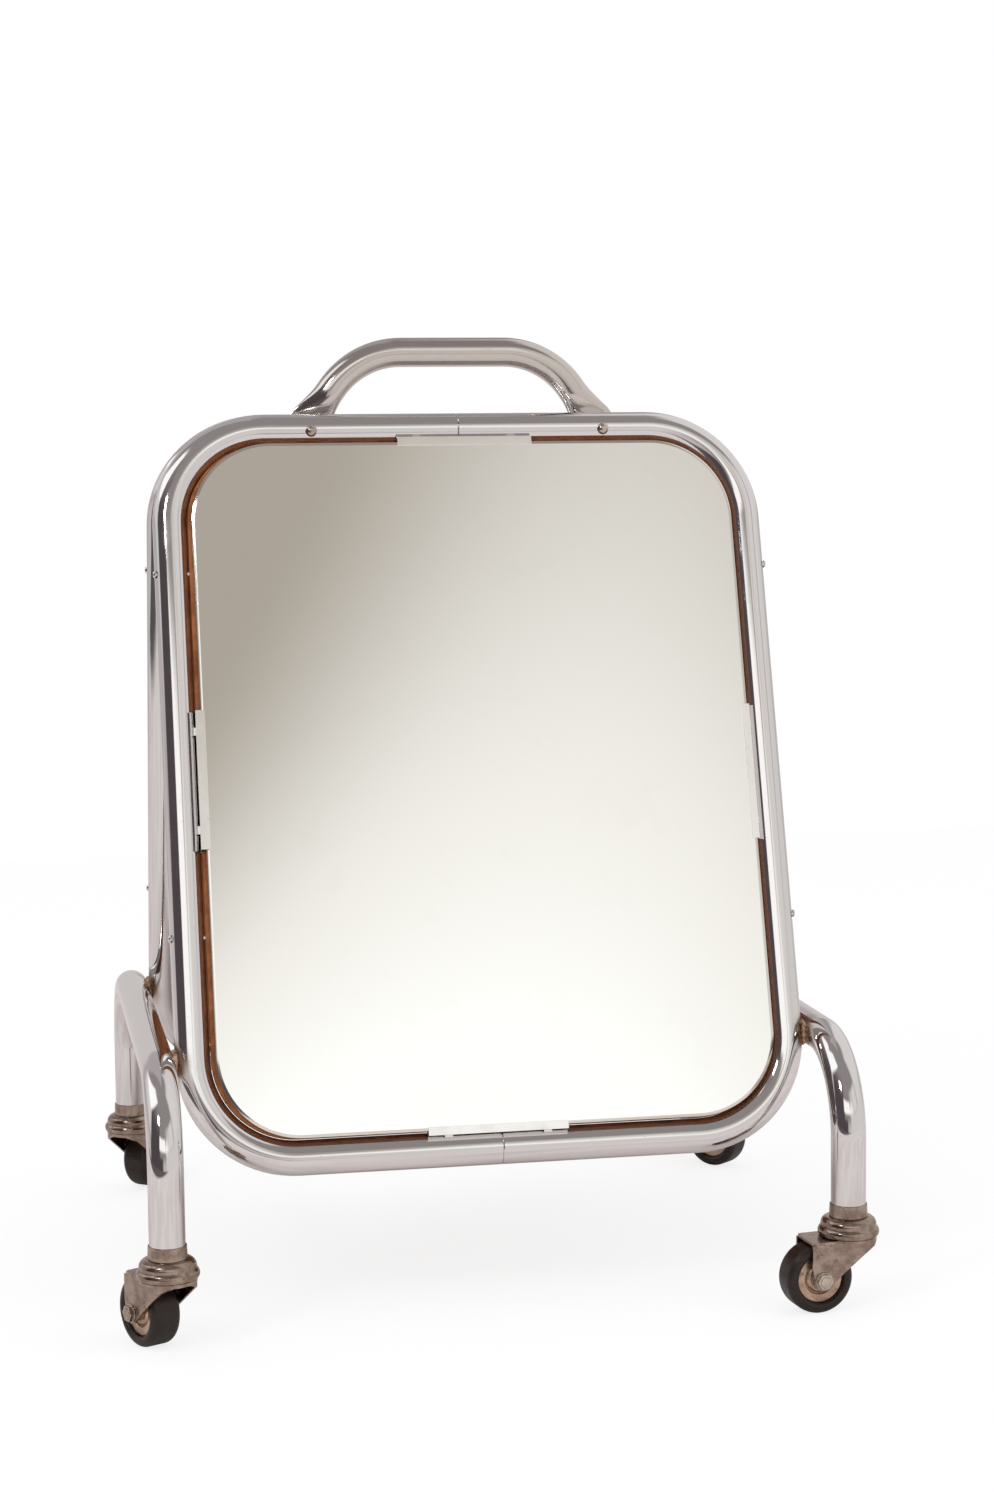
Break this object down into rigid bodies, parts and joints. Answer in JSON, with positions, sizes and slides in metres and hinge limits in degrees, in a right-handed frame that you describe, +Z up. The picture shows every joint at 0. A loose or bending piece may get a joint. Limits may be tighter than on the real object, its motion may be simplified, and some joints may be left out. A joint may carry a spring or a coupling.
{
  "type": "rolling floor mirror",
  "caption": "Low rolling floor mirror: two leaning chrome tube loops with bevelled mirrors, joined by side hoops on swivel casters, with a carrying handle on top.",
  "frame": {"origin": "on the floor under the middle of the whole box", "axes": "+Z up from the floor to the handle; +Y to the rear, away from the front mirror; +X to the right as seen from the front"},
  "size_m": [0.5636, 0.5141, 0.7101],
  "materials": {
    "chrome": "bright chrome plate on steel tube and sheet",
    "glass": "silvered glass with a polished bevel",
    "hardboard": "plain brown hardboard",
    "nickel": "aged nickel plate on pressed steel",
    "bronzed_steel": "satin, tanned with age",
    "bright_steel": "bright hardened steel",
    "steel": "zinc-plated steel",
    "rubber": "hard matt rubber"
  },
  "bodies": {
    "frame": {"front_loop_left": "chrome", "front_loop_right": "chrome", "rear_loop_left": "chrome", "rear_loop_right": "chrome", "loop_joint_sleeves": "steel", "left_leg_hoop": "chrome", "right_leg_hoop": "chrome", "handle": "chrome", "handle_bolts": "steel", "handle_nuts": "steel", "front_mirror": "glass", "rear_mirror": "glass", "front_board": "hardboard", "rear_board": "hardboard", "board_screws": "steel", "front_top_clip": "chrome", "front_bottom_clip": "chrome", "front_left_clip": "chrome", "front_right_clip": "chrome", "rear_top_clip": "chrome", "rear_bottom_clip": "chrome", "rear_left_clip": "chrome", "rear_right_clip": "chrome", "front_left_stem_socket": "nickel", "front_left_race_cup": "nickel", "front_left_kingpin": "nickel", "front_right_stem_socket": "nickel", "front_right_race_cup": "nickel", "front_right_kingpin": "nickel", "rear_left_stem_socket": "nickel", "rear_left_race_cup": "nickel", "rear_left_kingpin": "nickel", "rear_right_stem_socket": "nickel", "rear_right_race_cup": "nickel", "rear_right_kingpin": "nickel"},
    "front_left_swivel": {"front_left_fork": "nickel", "front_left_race_balls": "bright_steel", "front_left_axle": "nickel", "front_left_axle_nut": "nickel"},
    "front_left_wheel": {"front_left_hub": "bronzed_steel", "front_left_tyre": "rubber"},
    "front_right_swivel": {"front_right_fork": "nickel", "front_right_race_balls": "bright_steel", "front_right_axle": "nickel", "front_right_axle_nut": "nickel"},
    "front_right_wheel": {"front_right_hub": "bronzed_steel", "front_right_tyre": "rubber"},
    "rear_left_swivel": {"rear_left_fork": "nickel", "rear_left_race_balls": "bright_steel", "rear_left_axle": "nickel", "rear_left_axle_nut": "nickel"},
    "rear_left_wheel": {"rear_left_hub": "bronzed_steel", "rear_left_tyre": "rubber"},
    "rear_right_swivel": {"rear_right_fork": "nickel", "rear_right_race_balls": "bright_steel", "rear_right_axle": "nickel", "rear_right_axle_nut": "nickel"},
    "rear_right_wheel": {"rear_right_hub": "bronzed_steel", "rear_right_tyre": "rubber"}
  },
  "joints": [
    {"name": "front_left_swivel_turn", "type": "hinge", "parent": "frame", "child": "front_left_swivel", "pos_m": [-0.246, -0.2343, 0.06], "axis": [0, 0, 1], "continuous": true},
    {"name": "front_left_wheel_roll", "type": "hinge", "parent": "front_left_swivel", "child": "front_left_wheel", "pos_m": [-0.2578, -0.21113, 0.0254], "axis": [-0.891, -0.454, 0], "continuous": true},
    {"name": "front_right_swivel_turn", "type": "hinge", "parent": "frame", "child": "front_right_swivel", "pos_m": [0.246, -0.2343, 0.06], "axis": [0, 0, 1], "continuous": true},
    {"name": "front_right_wheel_roll", "type": "hinge", "parent": "front_right_swivel", "child": "front_right_wheel", "pos_m": [0.22019, -0.23747, 0.0254], "axis": [0.1219, -0.9925, 0], "continuous": true},
    {"name": "rear_left_swivel_turn", "type": "hinge", "parent": "frame", "child": "rear_left_swivel", "pos_m": [-0.246, 0.2113, 0.06], "axis": [0, 0, 1], "continuous": true},
    {"name": "rear_left_wheel_roll", "type": "hinge", "parent": "rear_left_swivel", "child": "rear_left_wheel", "pos_m": [-0.23035, 0.23206, 0.0254], "axis": [-0.7986, 0.6018, 0], "continuous": true},
    {"name": "rear_right_swivel_turn", "type": "hinge", "parent": "frame", "child": "rear_right_swivel", "pos_m": [0.246, 0.2113, 0.06], "axis": [0, 0, 1], "continuous": true},
    {"name": "rear_right_wheel_roll", "type": "hinge", "parent": "rear_right_swivel", "child": "rear_right_wheel", "pos_m": [0.26271, 0.19138, 0.0254], "axis": [0.766, 0.6428, 0], "continuous": true}
  ]
}
